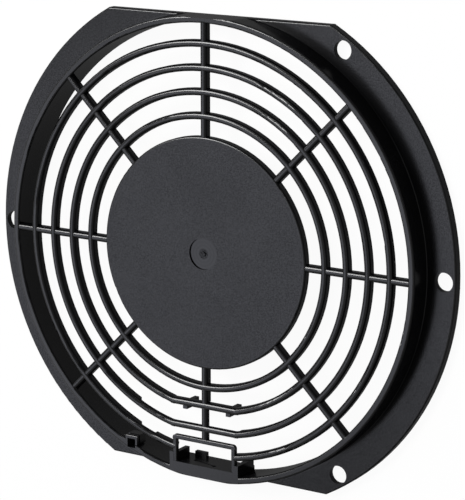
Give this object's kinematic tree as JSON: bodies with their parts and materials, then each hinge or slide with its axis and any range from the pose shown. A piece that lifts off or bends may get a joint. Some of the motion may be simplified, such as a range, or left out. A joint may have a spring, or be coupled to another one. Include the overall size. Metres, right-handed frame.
{
  "type": "fan guard grille",
  "caption": "Black plastic guard grille of a round axial fan: drilled flange with flats, low wall, hub on spokes and rings, plug window and cable eye.",
  "frame": {"origin": "centre of the flange's back face, on the axis of the fan", "axes": "+Z along the fan's axis, from the fan to the grille's front; -Y towards the plug window; X across, along the longest side"},
  "size_m": [0.17, 0.149, 0.011],
  "materials": {
    "black_plastic": "fine texture on the hub and the flange, satin on the bars and the wall"
  },
  "bodies": {
    "root": {"fan_grille": "black_plastic"}
  },
  "joints": []
}
